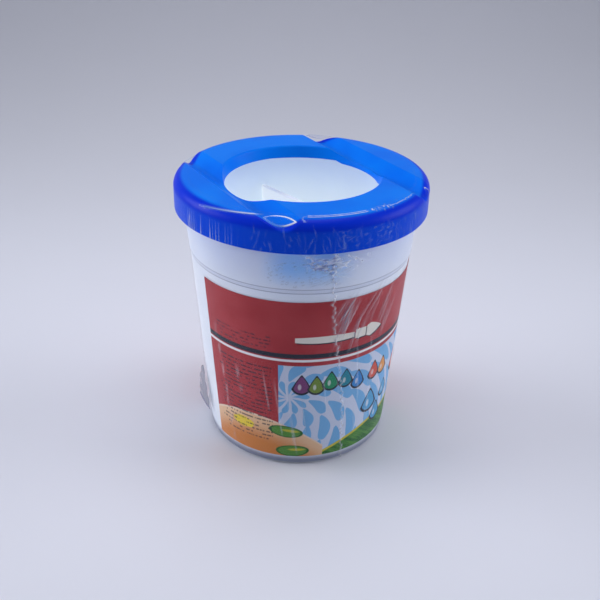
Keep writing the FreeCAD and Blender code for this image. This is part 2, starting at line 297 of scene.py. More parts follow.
@dataclass(frozen=True)
class LidPlastic:
    """Satin blue moulding with a fine orange-peel and faint scuffs; painted shade makes its rounded edge
    and skirt darker than its top.
    """

    body: Colour = linear(0, 125, 245)
    deep: Colour = linear(0, 113, 239)
    # Painted shade: the rounded edge and the skirt are darker blues than the lit top.
    rim: Colour = linear(0, 48, 214)
    skirt: Colour = linear(0, 72, 222)
    rim_shade_heights: tuple[float, float] = (92.0, 93.8)
    edge_shade_radii: tuple[float, float] = (38.7, 40.2)
    roughness: float = 0.30
    grain_depth: float = 0.00006

    def build(self) -> Material:
        """Make the material.

        Returns:
            The material.
        """
        g = Graph("lid_blue_plastic")
        x, y, z = g.place()
        spot = g.vector(x, y, z)
        cloud = g.noise(spot, 0.05, 2)
        grain = g.noise(spot, 1.6, 3, 0.6)
        scuff = g.noise(g.vector(x * 0.25, y * 2.2, z), 0.9, 3, 0.7).ramp(0.62, 0.78)
        colour = g.mix(cloud.ramp(0.35, 0.65), self.deep, self.body)
        radius = (x * x + y * y).root()
        # Painted shade: darker blue on the rounded edge and skirt, outwards from the edge radii.
        side = g.mix(z.ramp(*self.rim_shade_heights), self.skirt, self.rim)
        colour = g.mix(radius.ramp(*self.edge_shade_radii), colour, side)
        normal = g.bump(grain, self.grain_depth, 0.35)
        rough = self.roughness + grain * 0.08 + scuff * 0.06
        return g.finish(g.plastic({
            "Base Color": colour, "Roughness": rough, "Normal": normal, "IOR": 1.4,
            "Specular IOR Level": 0.1,
        }))


@dataclass(frozen=True)
class CupPlastic:
    """Milky translucent moulding with painted light and shade: a blue patch and a bluish band under the lid
    for the lid's light coming through, darker lines at its step and foot, and glowing inner faces.
    """

    body: Colour = linear(224, 229, 241)
    # Painted light: the blue of the lid's light in a patch under the lid.
    painted_light: Colour = linear(126, 196, 250)
    # Painted shade, tinted blue, in a band all round under the lid.
    painted_blue_shade: Colour = linear(150, 172, 222)
    # Painted shade at the wall's step and at the foot.
    crease: Colour = linear(84, 92, 124)
    # Painted light: emission of the inner faces.
    inner: Colour = (0.20, 0.235, 0.215)
    wall: float = WALL_AT_FOOT
    flare: float = WALL_FLARE
    outside_radii: tuple[float, float] = (36.0, 37.2)
    step_radii: tuple[float, float] = (36.4, 36.8)
    light_patch_left: tuple[float, float] = (-142.0, -124.0)
    light_patch_right: tuple[float, float] = (-92.0, -112.0)
    light_patch_heights: tuple[float, float] = (71.5, 80.0)
    painted_blue_shade_heights: tuple[float, float] = (64.0, 86.0)
    step_shade_lines: tuple[tuple[float, float], ...] = ((70.25, 70.55), (71.85, 72.1))
    step_shade_face: tuple[float, float] = (70.4, 72.0)
    foot_shade_heights: tuple[float, float] = (4.4, 1.6)
    roughness: float = 0.32
    grain_depth: float = 0.00008

    def build(self) -> Material:
        """Make the material.

        Returns:
            The material.
        """
        g = Graph("cup_milky_plastic")
        x, y, z = g.place()
        spot = g.vector(x, y, z)
        cloud = g.noise(spot, 0.035, 3)
        grain = g.noise(spot, 1.1, 2)
        radius = (x * x + y * y).root()
        outside = radius.ramp(*self.outside_radii)
        outside_step = radius.ramp(*self.step_radii)
        around = y.angle_from(x) * DEGREES
        # Painted light: a soft blue patch under the front of the lid.
        light_patch = around.ramp(*self.light_patch_left) * around.ramp(*self.light_patch_right)
        light_patch = light_patch * z.ramp(*self.light_patch_heights) * outside
        colour = g.mix(cloud.ramp(0.3, 0.7), self.body, shade(self.body, 0.94))
        colour = g.mix(light_patch * 0.85 * (0.75 + cloud * 0.5), colour, self.painted_light)
        # Painted shade tinted blue all round the band under the lid.
        painted_blue_shade = z.ramp(*self.painted_blue_shade_heights) * outside * (0.6 + cloud * 0.8)
        colour = g.mix(painted_blue_shade * 0.25, colour, self.painted_blue_shade)
        # Painted shade: dark lines and a faint band where the wall steps.
        lower, upper = self.step_shade_lines
        line = (z.between(*lower, 0.1) + z.between(*upper, 0.1)) * outside_step
        face = z.between(*self.step_shade_face, 0.3) * outside_step
        colour = g.mix(line * 0.55 + face * 0.1, colour, self.crease)
        # Painted shadow: darker towards the foot, where the cup stands.
        colour = g.mix(z.ramp(*self.foot_shade_heights) * 0.8, colour, self.crease)
        # Painted light: the inner faces glow with a fixed emission, for light that the milky wall passes
        # on.
        inside_light_mask = (self.wall + z * self.flare - radius).ramp(0.5, 0.9)
        painted_light = g.mix(inside_light_mask, (0.0, 0.0, 0.0), self.inner)
        return g.finish(g.plastic({
            "Base Color": colour, "Roughness": self.roughness + grain * 0.1,
            "Normal": g.bump(grain, self.grain_depth, 0.3), "IOR": 1.49,
            "Subsurface Weight": 1.0, "Subsurface Radius": (0.9, 0.95, 1.0), "Subsurface Scale": 0.003,
            "Emission Color": painted_light, "Emission Strength": 1.0,
        }))


@dataclass(frozen=True)
class DividerPlastic:
    """Plain white satin moulding that glows with painted light."""

    body: Colour = linear(240, 241, 247)
    # Painted light: the divider glows with this emission, for light through the milky cup.
    inner: Colour = (0.29, 0.29, 0.25)
    roughness: float = 0.38
    grain_depth: float = 0.00006

    def build(self) -> Material:
        """Make the material.

        Returns:
            The material.
        """
        g = Graph("divider_white_plastic")
        x, y, z = g.place()
        spot = g.vector(x, y, z)
        flow = g.noise(g.vector(x, y * 0.2, z), 0.25, 3)
        grain = g.noise(spot, 1.4, 2)
        colour = g.mix(flow.ramp(0.3, 0.7), self.body, shade(self.body, 0.95))
        return g.finish(g.plastic({
            "Base Color": colour, "Roughness": self.roughness + grain * 0.1,
            "Normal": g.bump(grain, self.grain_depth, 0.3), "IOR": 1.49,
            "Subsurface Weight": 0.6, "Subsurface Radius": (0.9, 0.95, 1.0), "Subsurface Scale": 0.002,
            "Emission Color": self.inner, "Emission Strength": 1.0,
        }))


class Ink(Enum):
    """Inks of the label's print."""

    RED = linear(162, 40, 48)
    RED_LIGHT = linear(174, 54, 61)
    BLACK = linear(34, 38, 54)
    CREAM = linear(226, 222, 214)
    SKY = linear(196, 206, 228)
    PETAL = linear(112, 172, 220)
    PEACH = linear(226, 188, 150)
    ORANGE = linear(206, 128, 62)
    LEAF = linear(84, 142, 58)
    LEAF_DARK = linear(44, 104, 44)
    LEMON = linear(232, 206, 60)
    BERRY = linear(120, 62, 116)
    OLIVE = linear(112, 140, 56)
    GREEN = linear(30, 140, 96)
    TEAL = linear(30, 128, 150)
    BLUE = linear(52, 130, 200)
    CORAL = linear(206, 84, 66)
    AMBER = linear(222, 150, 78)
    AZURE = linear(76, 156, 204)
    PAPER = linear(232, 232, 236)


@dataclass(frozen=True)
class Splash:
    """One paint drop of the label's picture."""

    angle: float
    height: float
    wide: float
    tall: float
    ink: Ink


@dataclass(frozen=True)
class Leaf:
    """One green dab of the label's picture."""

    angle: float
    height: float
    slant: float


@dataclass(frozen=True)
class PetalRing:
    """One ring of teardrops round the burst's centre, in millimetres."""

    near: float
    far: float
    count: int


@dataclass(frozen=True)
class StrokeBlock:
    """One block of plain strokes, as wide as its two angles and with rows a pitch apart."""

    left: float
    right: float
    low: float
    high: float
    pitch: float


@dataclass
class Canvas:
    """The label's face: degrees and millimetres from its left edge, height, and the colour so far."""

    graph: Graph
    angle: Level
    along: Level
    z: Level
    colour: Source

    def paint(self, share: Level, ink: Union[Source, Ink]) -> None:
        """Lay an ink over the colour so far."""
        self.colour = self.graph.mix(share, self.colour, ink.value if isinstance(ink, Ink) else ink)


@dataclass(frozen=True)
class LabelPrint:
    """Printed wrap: red field, stripes, a picture of paint and plain rows of strokes for small print.

    Angles are degrees from the label's left edge, heights are millimetres above the foot.
    """

    start: float = 183.2
    arc: float = 0.611
    stripe: tuple[float, float] = (46.0, 47.75)
    line: tuple[float, float] = (44.6, 45.55)
    panel_left: float = 45.3
    panel_right: float = 152.0
    panel_top: float = 43.0
    burst: tuple[float, float] = (51.0, 29.8)
    hill_right: float = 71.8
    hill_height: float = 20.4
    sweep_height: float = 6.0
    spill: tuple[float, float, float, float] = (22.5, 15.2, 4.3, 2.1)
    brush_ends: tuple[float, float] = (54.0, 106.0)
    brush_height: float = 53.1
    brush_shadow: float = 0.45
    rings: tuple[PetalRing, ...] = (
        PetalRing(1.2, 7.2, 10),
        PetalRing(6.6, 14.6, 11),
        PetalRing(13.6, 23.0, 14),
        PetalRing(21.8, 32.0, 18),
        PetalRing(30.8, 43.0, 22),
        PetalRing(41.6, 56.0, 26),
    )
    leaves: tuple[Leaf, ...] = (Leaf(49.5, 14.8, -0.10), Leaf(53.5, 6.2, 0.02))
    blocks: tuple[StrokeBlock, ...] = (
        StrokeBlock(5.5, 41.5, 48.7, 54.3, 1.35),
        StrokeBlock(5.5, 41.8, 9.6, 42.0, 1.62),
        StrokeBlock(168.0, 214.0, 10.0, 42.0, 1.62),
    )
    drops: tuple[Splash, ...] = (
        Splash(57.9, 35.2, 2.5, 4.1, Ink.BERRY),
        Splash(66.0, 34.9, 2.3, 3.9, Ink.OLIVE),
        Splash(74.0, 36.1, 2.3, 3.9, Ink.GREEN),
        Splash(82.8, 36.0, 2.2, 3.8, Ink.TEAL),
        Splash(91.0, 34.0, 2.2, 3.9, Ink.BLUE),
        Splash(103.3, 34.6, 2.3, 3.9, Ink.CORAL),
        Splash(111.8, 34.2, 2.2, 3.7, Ink.AMBER),
        Splash(103.0, 21.6, 3.2, 5.0, Ink.AZURE),
        Splash(111.5, 14.5, 2.6, 4.2, Ink.AZURE),
        Splash(118.0, 22.5, 2.4, 3.8, Ink.AZURE),
        Splash(132.0, 30.5, 3.4, 5.2, Ink.CORAL),
        Splash(142.0, 22.0, 3.0, 4.6, Ink.LEMON),
    )
    grain_depth: float = 0.00003

    def build(self) -> Material:
        """Make the material.

        Returns:
            The material.
        """
        g = Graph("label_print")
        x, y, z = g.place()
        around = (y.angle_from(x) * DEGREES + (720 - self.start)) / 360
        angle = around.part() * 360
        face = Canvas(g, angle, angle * self.arc, z, Ink.RED.value)
        for layer in (self._field, self._picture, self._small_print, self._brush):
            layer(face)
        grain = g.noise(g.vector(x, y, z), 3.0, 2)
        return g.finish(g.plastic({
            "Base Color": face.colour, "Roughness": 0.42 + grain * 0.12, "Specular IOR Level": 0.2,
            "Normal": g.bump(grain, self.grain_depth, 0.3),
        }))

    def _field(self, face: Canvas) -> None:
        """Red field with its black stripe and white line.

        Args:
            face: the label's face, which takes the paint.
        """
        cloud = face.graph.noise(face.graph.vector(face.along, face.z, 0.0), 0.08, 2)
        face.paint(cloud.ramp(0.3, 0.7), Ink.RED_LIGHT)
        face.paint(face.z.between(*self.stripe), Ink.BLACK)
        face.paint(face.z.between(*self.line), Ink.PAPER)

    def _picture(self, face: Canvas) -> None:
        """The panel: burst of petals, hills, leaves and paint drops.

        Args:
            face: the label's face, which takes the paint.
        """
        g, angle, along, z = face.graph, face.angle, face.along, face.z
        panel = angle.between(self.panel_left, self.panel_right, 0.1)
        panel = panel * z.ramp(self.panel_top + PRINT_EDGE, self.panel_top - PRINT_EDGE)
        face.paint(panel, g.mix(self._petals(face), Ink.SKY.value, Ink.PETAL.value))
        hill_top = self.hill_height - ((angle - 28.0) * 0.0795) ** 2.0
        hill = z.ramp(0.0, 0.01) * (hill_top - z).ramp(-0.08, 0.08)
        hill = hill * angle.ramp(self.hill_right + 0.1, self.hill_right - 0.1)
        tone = g.mix((hill_top - z).ramp(1.0, 12.0), Ink.PEACH.value, Ink.ORANGE.value)
        tone = g.mix((hill_top - z).between(0.0, 0.7, 0.3) * 0.35, tone, Ink.PAPER.value)
        face.paint(hill, tone)
        past = angle - self.hill_right
        sweep_top = self.sweep_height + past * 0.29 - (past * 0.048) ** 2.0
        sweep = (sweep_top - z).ramp(-0.08, 0.08) * angle.between(self.hill_right, self.panel_right, 0.1)
        blade = g.noise(g.vector(along * 0.35 + z * 0.5, z * 0.12, 0.0), 1.2, 3, 0.6)
        tone = g.mix(blade.ramp(0.42, 0.62), Ink.LEAF_DARK.value, Ink.LEAF.value)
        tone = g.mix((sweep_top - z).between(0.0, 1.1, 0.3) * 0.7, tone, Ink.LEMON.value)
        face.paint(sweep, tone)
        for leaf in self.leaves:
            self._leaf(face, leaf)
        spill_angle, high, wide, tall = self.spill
        spill = self._oval((along - spill_angle * self.arc) / wide, (z - high) / tall)
        face.paint((spill + blade * 0.7).ramp(1.45, 1.35), Ink.LEMON)
        for drop in self.drops:
            self._drop(face, drop)

    def _petals(self, face: Canvas) -> Level:
        """Rings of teardrops that open out from one point.

        Args:
            face: the label's face.

        Returns:
            1 inside a petal, else 0.
        """
        across = face.along - self.burst[0] * self.arc
        up = face.z - self.burst[1]
        reach = self._oval(across, up)
        turn = up.angle_from(across) / (2 * math.pi) + reach * 0.006
        inked: Optional[Level] = None
        for index, ring in enumerate(self.rings):
            share = (reach - ring.near) / (ring.far - ring.near)
            cell = (turn * ring.count + 0.37 * index + 10).part() - 0.5
            width = 0.48 * (share.at_least(0.0) ** 0.55) * (1 - share.at_least(0.0).at_most(1.0) ** 5.0)
            petal = (width - abs(cell)).ramp(-0.012, 0.012) * share.between(0.03, 0.99, 0.01)
            inked = petal if inked is None else inked.at_least(petal)
        return inked

    @staticmethod
    def _oval(across: Level, up: Level) -> Level:
        """Distance from a centre, in half widths and half heights."""
        return (across * across + up * up).root()

    def _leaf(self, face: Canvas, leaf: Leaf) -> None:
        """A green dab with a bright streak and a dark edge.

        Args:
            face: the label's face, which takes the paint.
            leaf: where it lies and how it slants.
        """
        along, middle = face.along, leaf.angle * self.arc
        tilted = face.z - (along - middle) * leaf.slant
        shape = self._oval((along - middle) / 6.1, (tilted - leaf.height) / 2.5)
        face.paint(shape.ramp(1.03, 0.99), Ink.LEAF_DARK)
        face.paint(shape.ramp(0.88, 0.82), Ink.LEAF)
        streak = self._oval((along - (middle + 1.6)) / 3.3, (tilted - (leaf.height + 0.6)) / 0.6)
        face.paint(streak.ramp(1.2, 0.6) * 0.6, Ink.LEMON)

    def _drop(self, face: Canvas, drop: Splash) -> None:
        """A paint drop with a dark edge and a light spot.

        Args:
            face: the label's face, which takes the paint.
            drop: its place, size and ink.
        """
        across = (face.along - drop.angle * self.arc) / drop.wide
        up = (face.z - drop.height) / drop.tall
        pinch = 1 + up.at_least(-0.4) * 0.75 + (up.at_least(0.0) ** 3.0) * 1.1
        edge = ((across * pinch) ** 2.0 + up * up).root()
        face.paint(edge.ramp(1.06, 1.0), Ink.BLACK)
        face.paint(edge.ramp(0.86, 0.80), drop.ink)
        spot = ((across + 0.25) ** 2.0 + ((up + 0.2) * 0.8) ** 2.0).root()
        face.paint(spot.ramp(0.3, 0.16) * 0.55, Ink.PAPER)

    def _small_print(self, face: Canvas) -> None:
        """Rows of plain strokes where a label has its small print.

        Args:
            face: the label's face, which takes the paint.
        """
        g, angle = face.graph, face.angle
        for block in self.blocks:
            row = (face.z - block.low) / block.pitch
            line = row.part().between(0.28, 0.66, 0.08)
            letter = g.dice(g.vector((face.along / 0.36).floor(), row.floor(), block.left)) > 0.3
            place = (face.along / 1.7 + row.floor() * 0.37).floor()
            word = g.dice(g.vector(place, row.floor(), block.left + 7.0)) > 0.12
            ragged = g.dice(g.vector(row.floor(), block.left, 3.0)) * 5.0
            ink = line * letter * word * face.z.between(block.low, block.high)
            ink = ink * (angle - ragged).ramp(block.left - 0.1, block.left + 0.1)
            ink = ink * angle.ramp(block.right + 0.1, block.right - 0.1)
            face.paint(ink * 0.78, Ink.BLACK)

    @staticmethod
    def _length(half: Operand, up: Level, share: Level, start: float, end: float, edge: float) -> Level:
        """1 inside a stretch of the brush, of this half thickness, between two shares of its length."""
        return (half - up).ramp(-PRINT_EDGE, PRINT_EDGE) * share.between(start, end, edge)

    def _brush(self, face: Canvas) -> None:
        """A lying paint brush in cream, with a dark edge below it.

        Args:
            face: the label's face, which takes the paint.
        """
        left, right = (end * self.arc for end in self.brush_ends)
        for lower, ink in ((self.brush_shadow, Ink.BLACK), (0.0, Ink.CREAM)):
            up = abs(face.z - self.brush_height + lower)
            share = (face.along - left - lower) / (right - left)
            swell = (share * 3.4 + 0.5).sine().at_least(0.0)
            handle = self._length(0.55 + 0.75 * swell, up, share, 0.0, 0.60, 0.004)
            ferrule = self._length(1.75, up, share, 0.615, 0.74, 0.004)
            ring = self._length(2.0, up, share, 0.645, 0.66, 0.003)
            belly = ((share - 0.75) * 9.0).sine().at_least(0.0)
            point = (share - 0.8).at_least(0.0) * 22.0
            hair = self._length(1.9 + 1.5 * belly - point, up, share, 0.752, 1.0, 0.004)
            face.paint(handle.at_least(ferrule).at_least(ring).at_least(hair), ink)


@dataclass(frozen=True)
class ShrinkFilm:
    """Clear film: nearly invisible where it lies flat, with painted white highlights along its folds and
    painted shade in its beads and beside its creases.
    """

    name: str
    haze: float = 0.004
    fold_share: float = 0.5
    grazing: float = 0.10
    # tint and white: the colours of the painted highlights along folds, white where they are strongest.
    tint: Colour = linear(236, 240, 250)
    white: Colour = linear(248, 249, 252)
    # Painted shade in beads and beside creases and the seam.
    painted_dark_shade: Colour = linear(20, 48, 136)
    crinkle_depth: float = 0.0002

    def build(self) -> Material:
        """Make the material.

        Returns:
            The material.
        """
        g = Graph(self.name)
        x, y, z = g.place()
        around = y.angle_from(x) * 40.0   # millimetres round a pot of this radius
        fine = g.noise(g.vector(around, z * 0.35, 0.0), 0.9, 3, 0.55)
        crumb = g.noise(g.vector(x, y, z), 1.7, 2)
        # fold marks carry painted highlights and dark marks painted shade.
        fold, dark = g.attribute("fold"), g.attribute("dark")
        rim = Level(g, g.node("ShaderNodeLayerWeight", inputs={"Blend": 0.28}).outputs["Facing"])
        share = self.haze + fold * self.fold_share + rim * self.grazing + fine.ramp(0.66, 0.80) * 0.04
        colour = g.mix(fold.ramp(0.45, 0.9), self.tint, self.white)
        skin = g.plastic({
            "Base Color": g.mix(dark, colour, self.painted_dark_shade), "Roughness": 0.1 + crumb * 0.1, "IOR": 1.55,
            "Normal": g.bump(fine * 0.7 + crumb * 0.3, self.crinkle_depth, 0.35),
            "Specular IOR Level": 0.7,
        })
        clear = g.node("ShaderNodeBsdfTransparent").outputs[0]
        mixed = g.node("ShaderNodeMixShader")
        # Painted highlights and painted shade also make the film more opaque.
        g.feed(mixed.inputs[0], (share + dark.at_most(0.8) * 0.42).at_most(0.9))
        g.feed(mixed.inputs[1], clear)
        g.feed(mixed.inputs[2], skin)
        return g.finish(mixed.outputs[0])


@dataclass(frozen=True)
class StagePaper:
    """Plain pale studio paper."""

    body: Colour = linear(222, 224, 234)

    def build(self) -> Material:
        """Make the material.

        Returns:
            The material.
        """
        g = Graph("stage_paper")
        x, y, z = g.place()
        grain = g.noise(g.vector(x, y, z), 0.02, 2)
        colour = g.mix(grain, self.body, shade(self.body, 0.98))
        return g.finish(g.plastic({"Base Color": colour, "Roughness": 0.75}))


# ---------------------------------------------------------------- mesh helpers

def sheet_mesh(name: str, points: np.ndarray, closed: bool, marks: dict[str, np.ndarray],
               material: Material) -> bpy.types.Object:
    """Make a smooth sheet from a grid of points.

    Args:
        name: the piece's name.
        points: rows by columns by 3, in millimetres.
        closed: True to join the last column to the first.
        marks: values from 0 to 1 to store on the points, rows by columns each.
        material: its finish.

    Returns:
        The new object.
    """
    rows, columns = points.shape[:2]
    mesh = bpy.data.meshes.new(name)
    index = np.arange(rows * columns).reshape(rows, columns)
    right = np.roll(index, -1, axis=1)
    if not closed:
        index, right = index[:, :-1], right[:, :-1]
    quads = np.stack([index[:-1], right[:-1], right[1:], index[1:]], axis=-1).reshape(-1, 4)
    mesh.from_pydata((points.reshape(-1, 3) * MM).tolist(), [], quads.tolist())
    mesh.polygons.foreach_set("use_smooth", np.ones(len(quads), bool))
    for mark, values in marks.items():
        layer = mesh.attributes.new(mark, "FLOAT", "POINT")
        layer.data.foreach_set("value", np.clip(values, 0, 1).reshape(-1).astype(np.float32))
    mesh.materials.append(material)
    mesh.update()
    piece = bpy.data.objects.new(name, mesh)
    bpy.context.scene.collection.objects.link(piece)
    return piece


def ripple(seed: int, count: int, places: np.ndarray, low: float, high: float) -> np.ndarray:
    """A sum of sines with seeded frequencies and phases, from -1 to 1.

    Args:
        seed: chooses the sines.
        count: how many.
        places: where to read it.
        low: lowest frequency.
        high: highest frequency.

    Returns:
        One value per place.
    """
    chance = np.random.default_rng(seed)
    total = np.zeros_like(places)
    for pitch, phase in zip(chance.integers(low, high, count), chance.uniform(0, 2 * math.pi, count)):
        total += np.sin(places * pitch + phase)
    return total / count


def ridge(distance: np.ndarray, width: float) -> np.ndarray:
    """A rounded crease: 1 on its line and fading over its width."""
    return np.exp(-(distance / width) ** 2)


# ---------------------------------------------------------------- film pieces

@dataclass
class Relief:
    """Points of a film, by their angle in degrees, and the marks that are added to them."""

    seed: int
    around: np.ndarray

    def __post_init__(self) -> None:
        """Start flat and clear, with no painted highlight or shade."""
        self.chance = np.random.default_rng(self.seed)
        self.turn = np.radians(self.around)
        self.out, self.fold, self.dark = (np.zeros_like(self.around) for _ in range(3))

    def add(self, mark: np.ndarray, out: float = 0.0, fold: float = 0.0, dark: float = 0.0) -> None:
        """Add a mark to the film.

        Args:
            mark: its strength at each point.
            out: outward shift in millimetres at full strength.
            fold: how much painted highlight it has there, along its folds.
            dark: how much painted shade it has there.
        """
        self.out += out * mark
        self.fold += fold * mark
        self.dark += dark * mark


@dataclass
class WallRelief(Relief):
    """The sleeve's points, with their height and their distance round from the seam."""

    z: np.ndarray
    arc: np.ndarray


@dataclass
class BandRelief(Relief):
    """The lid film's points, by their distance along the film from the skirt's lower edge.

    rise starts at the lid's rounded edge, and length is run at the film's inner edge.
    """

    run: np.ndarray
    rise: np.ndarray
    length: np.ndarray


@dataclass
class Sleeve:
    """Film round the cup: gathers under the lid, a wavy seam and creases that fan from it."""

    material: Material
    seed: int = 11
    seam: tuple[tuple[float, float], ...] = ((4.0, -93.0), (28.0, -95.6), (60.0, -103.8), (81.0, -106.2))
    fine_from: float = -150.0
    coarse_from: float = -45.0
    label_stand: float = 0.2
    film_stand: float = 0.35
    bend: float = 79.0
    gather_from: float = 76.0
    fan_count: int = 26
    crumple_count: int = 60
    bead_count: int = 110
    crease_count: int = 34
    bottom: float = field(init=False)
    top: float = field(init=False)
    lid_radius: float = field(init=False)
    label_top: float = field(init=False)
    wall_high: float = field(init=False)
    slope: float = field(init=False)
    film: WallRelief = field(init=False)

    def __post_init__(self) -> None:
        """Take the sleeve's own sizes from its CAD solid and the label's."""
        low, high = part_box("sleeve_film")
        self.bottom, self.top = low.z / MM, high.z / MM
        self.lid_radius = high.x / MM
        label_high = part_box("label")[1]
        label_radius, self.label_top = label_high.x / MM, label_high.z / MM
        self.wall_high = label_radius + self.film_stand
        self.slope = (label_radius - self.label_stand - WALL_AT_FOOT) / self.label_top

    def radius(self, z: np.ndarray) -> np.ndarray:
        """Plain radius of the sleeve.

        Args:
            z: heights in millimetres.

        Returns:
            The radius at each height.
        """
        wall = self.wall_high + self.slope * (z - self.label_top)
        reach = np.clip((z - self.bend) / (self.top - self.bend), 0, 1)
        return wall + (self.lid_radius - 0.25 - wall) * reach ** 1.6

    def build(self) -> bpy.types.Object:
        """Make the sleeve and put it in place of its CAD solid.

        Returns:
            The piece.
        """
        fine = np.arange(self.fine_from, self.coarse_from, 0.36)
        coarse = np.arange(self.coarse_from, self.fine_from + 360, 1.6)
        rows = (np.arange(self.bottom, 64, 0.55), np.arange(64, self.top, 0.22), [self.top])
        around, z = np.meshgrid(np.concatenate([fine, coarse]), np.concatenate(rows))
        seam_at = np.interp(z, [p[0] for p in self.seam], [p[1] for p in self.seam])
        film = self.film = WallRelief(self.seed, around, z, np.radians(around - seam_at) * 37.0)
        self._gathers()
        self._seam_line()
        self._fan()
        self._crumple()
        self._beads()
        self._creases()
        radius = self.radius(z) + film.out
        points = np.stack([radius * np.cos(film.turn), radius * np.sin(film.turn), z], axis=-1)
        marks = {"fold": film.fold, "dark": film.dark}
        piece = sheet_mesh("sleeve_film_crinkled", points, True, marks, self.material)
        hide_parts("sleeve_film")
        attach(piece, "pot")
        return piece

    def _gathers(self) -> None:
        """Slow waves all round, and pleats that deepen towards the lid, with painted highlights on the
        pleat crests.
        """
        film = self.film
        film.add(ripple(3, 6, film.turn, 5, 30), out=0.05)
        gather = np.clip((film.z - self.gather_from) / (self.top - self.gather_from), 0, 1) ** 1.5
        pleats = ripple(5, 9, film.turn + 0.004 * film.z, 60, 190)
        film.add(gather * pleats, out=0.22)
        film.add(gather * np.clip(pleats - 0.25, 0, 1), fold=0.25)

    def _seam_line(self) -> None:
        """The welded seam, which wavers, with a painted highlight along it and a painted shade line beside
        its upper part.
        """
        film = self.film
        z = film.z
        wobble = 0.35 * np.sin(z * 1.3) + 0.25 * np.sin(z * 2.9 + 1)
        line = ridge(film.arc - wobble, 0.33)
        film.add(line, out=0.30)
        film.add(line * (0.75 + 0.25 * np.sin(z * 4.1)), fold=1.1)
        upper = np.clip((z - 30) / 20, 0, 1)
        beside = ridge(film.arc - wobble + 0.55, 0.25)
        film.add(beside * (0.5 + 0.5 * np.sin(z * 2.3)) * upper, dark=0.5)

    def _fan(self) -> None:
        """Slanted creases that fan from the seam across the top of the label, each with a painted highlight
        and a painted shade line beside it.
        """
        film = self.film
        draw = film.chance.uniform
        for _ in range(self.fan_count):
            start, high = draw(1.0, 24.0), draw(52, 66)
            lean, length = draw(0.35, 0.8), draw(6, 15)
            width, depth = draw(0.15, 0.30), draw(0.12, 0.32)
            slanted = film.arc - start - (film.z - high) * lean
            faded = ridge(film.z - high, length * 0.5)
            film.add(ridge(slanted, width) * faded, out=depth, fold=draw(0.35, 0.8))
            film.add(ridge(slanted + 0.6, width) * faded, dark=0.4)

    def _crumple(self) -> None:
        """Short folds every way where the seam meets the lid, with painted highlights."""
        film = self.film
        draw = film.chance.uniform
        for _ in range(self.crumple_count):
            middle, high = film.chance.normal(0.0, 5.0), film.chance.normal(81.0, 1.9)
            lean, length, width = draw(-2.5, 2.5), draw(1.0, 3.2), draw(0.16, 0.4)
            near = film.arc - middle - (film.z - high) * lean
            mark = ridge(near, width * (1 + abs(lean))) * ridge(film.z - high, length * 0.5)
            film.add(mark, out=draw(-0.2, 0.3), fold=0.5)

    def _beads(self) -> None:
        """Flat beads under the film, darkened with painted shade: long ones at the seam, small ones beside
        it.
        """
        film = self.film
        draw = film.chance.uniform
        for index in range(self.bead_count):
            close = index % 2
            middle = draw(-7, 1.5) if close else draw(-20, -5)
            high = draw(73, 84) if close else draw(73, 82)
            long, tall = draw(0.25, 0.5) * (1 + 1.6 * close), draw(0.18, 0.3)
            across = film.arc - middle
            mark = ridge(across / long, 1.0) * ridge((film.z - high - 0.25 * across) / tall, 1.0)
            film.add(mark, out=-0.22, dark=0.7 - 0.2 * close)

    def _creases(self) -> None:
        """Upright creases here and there all round the wall, with painted highlights."""
        film = self.film
        draw = film.chance.uniform
        for _ in range(self.crease_count):
            middle, low, high = draw(-170, 190), draw(3, 30), draw(20, 62)
            near = np.radians((film.around - middle + 180) % 360 - 180) * 35.0
            reach = np.clip((film.z - low) / 3, 0, 1) * np.clip((low + high * 0.5 - film.z) / 6, 0, 1)
            film.add(ridge(near + 0.12 * (film.z - low), 0.28) * reach, out=0.14, fold=0.45)


@dataclass(frozen=True)
class Bridge:
    """Film across the end of one groove: an eye-shaped fold with a painted highlight on its rim and a faint
    painted sheen inside it.
    """

    middle: float
    spread: float
    centre: float
    tall: float
    bright: float
    veil_sheen: float


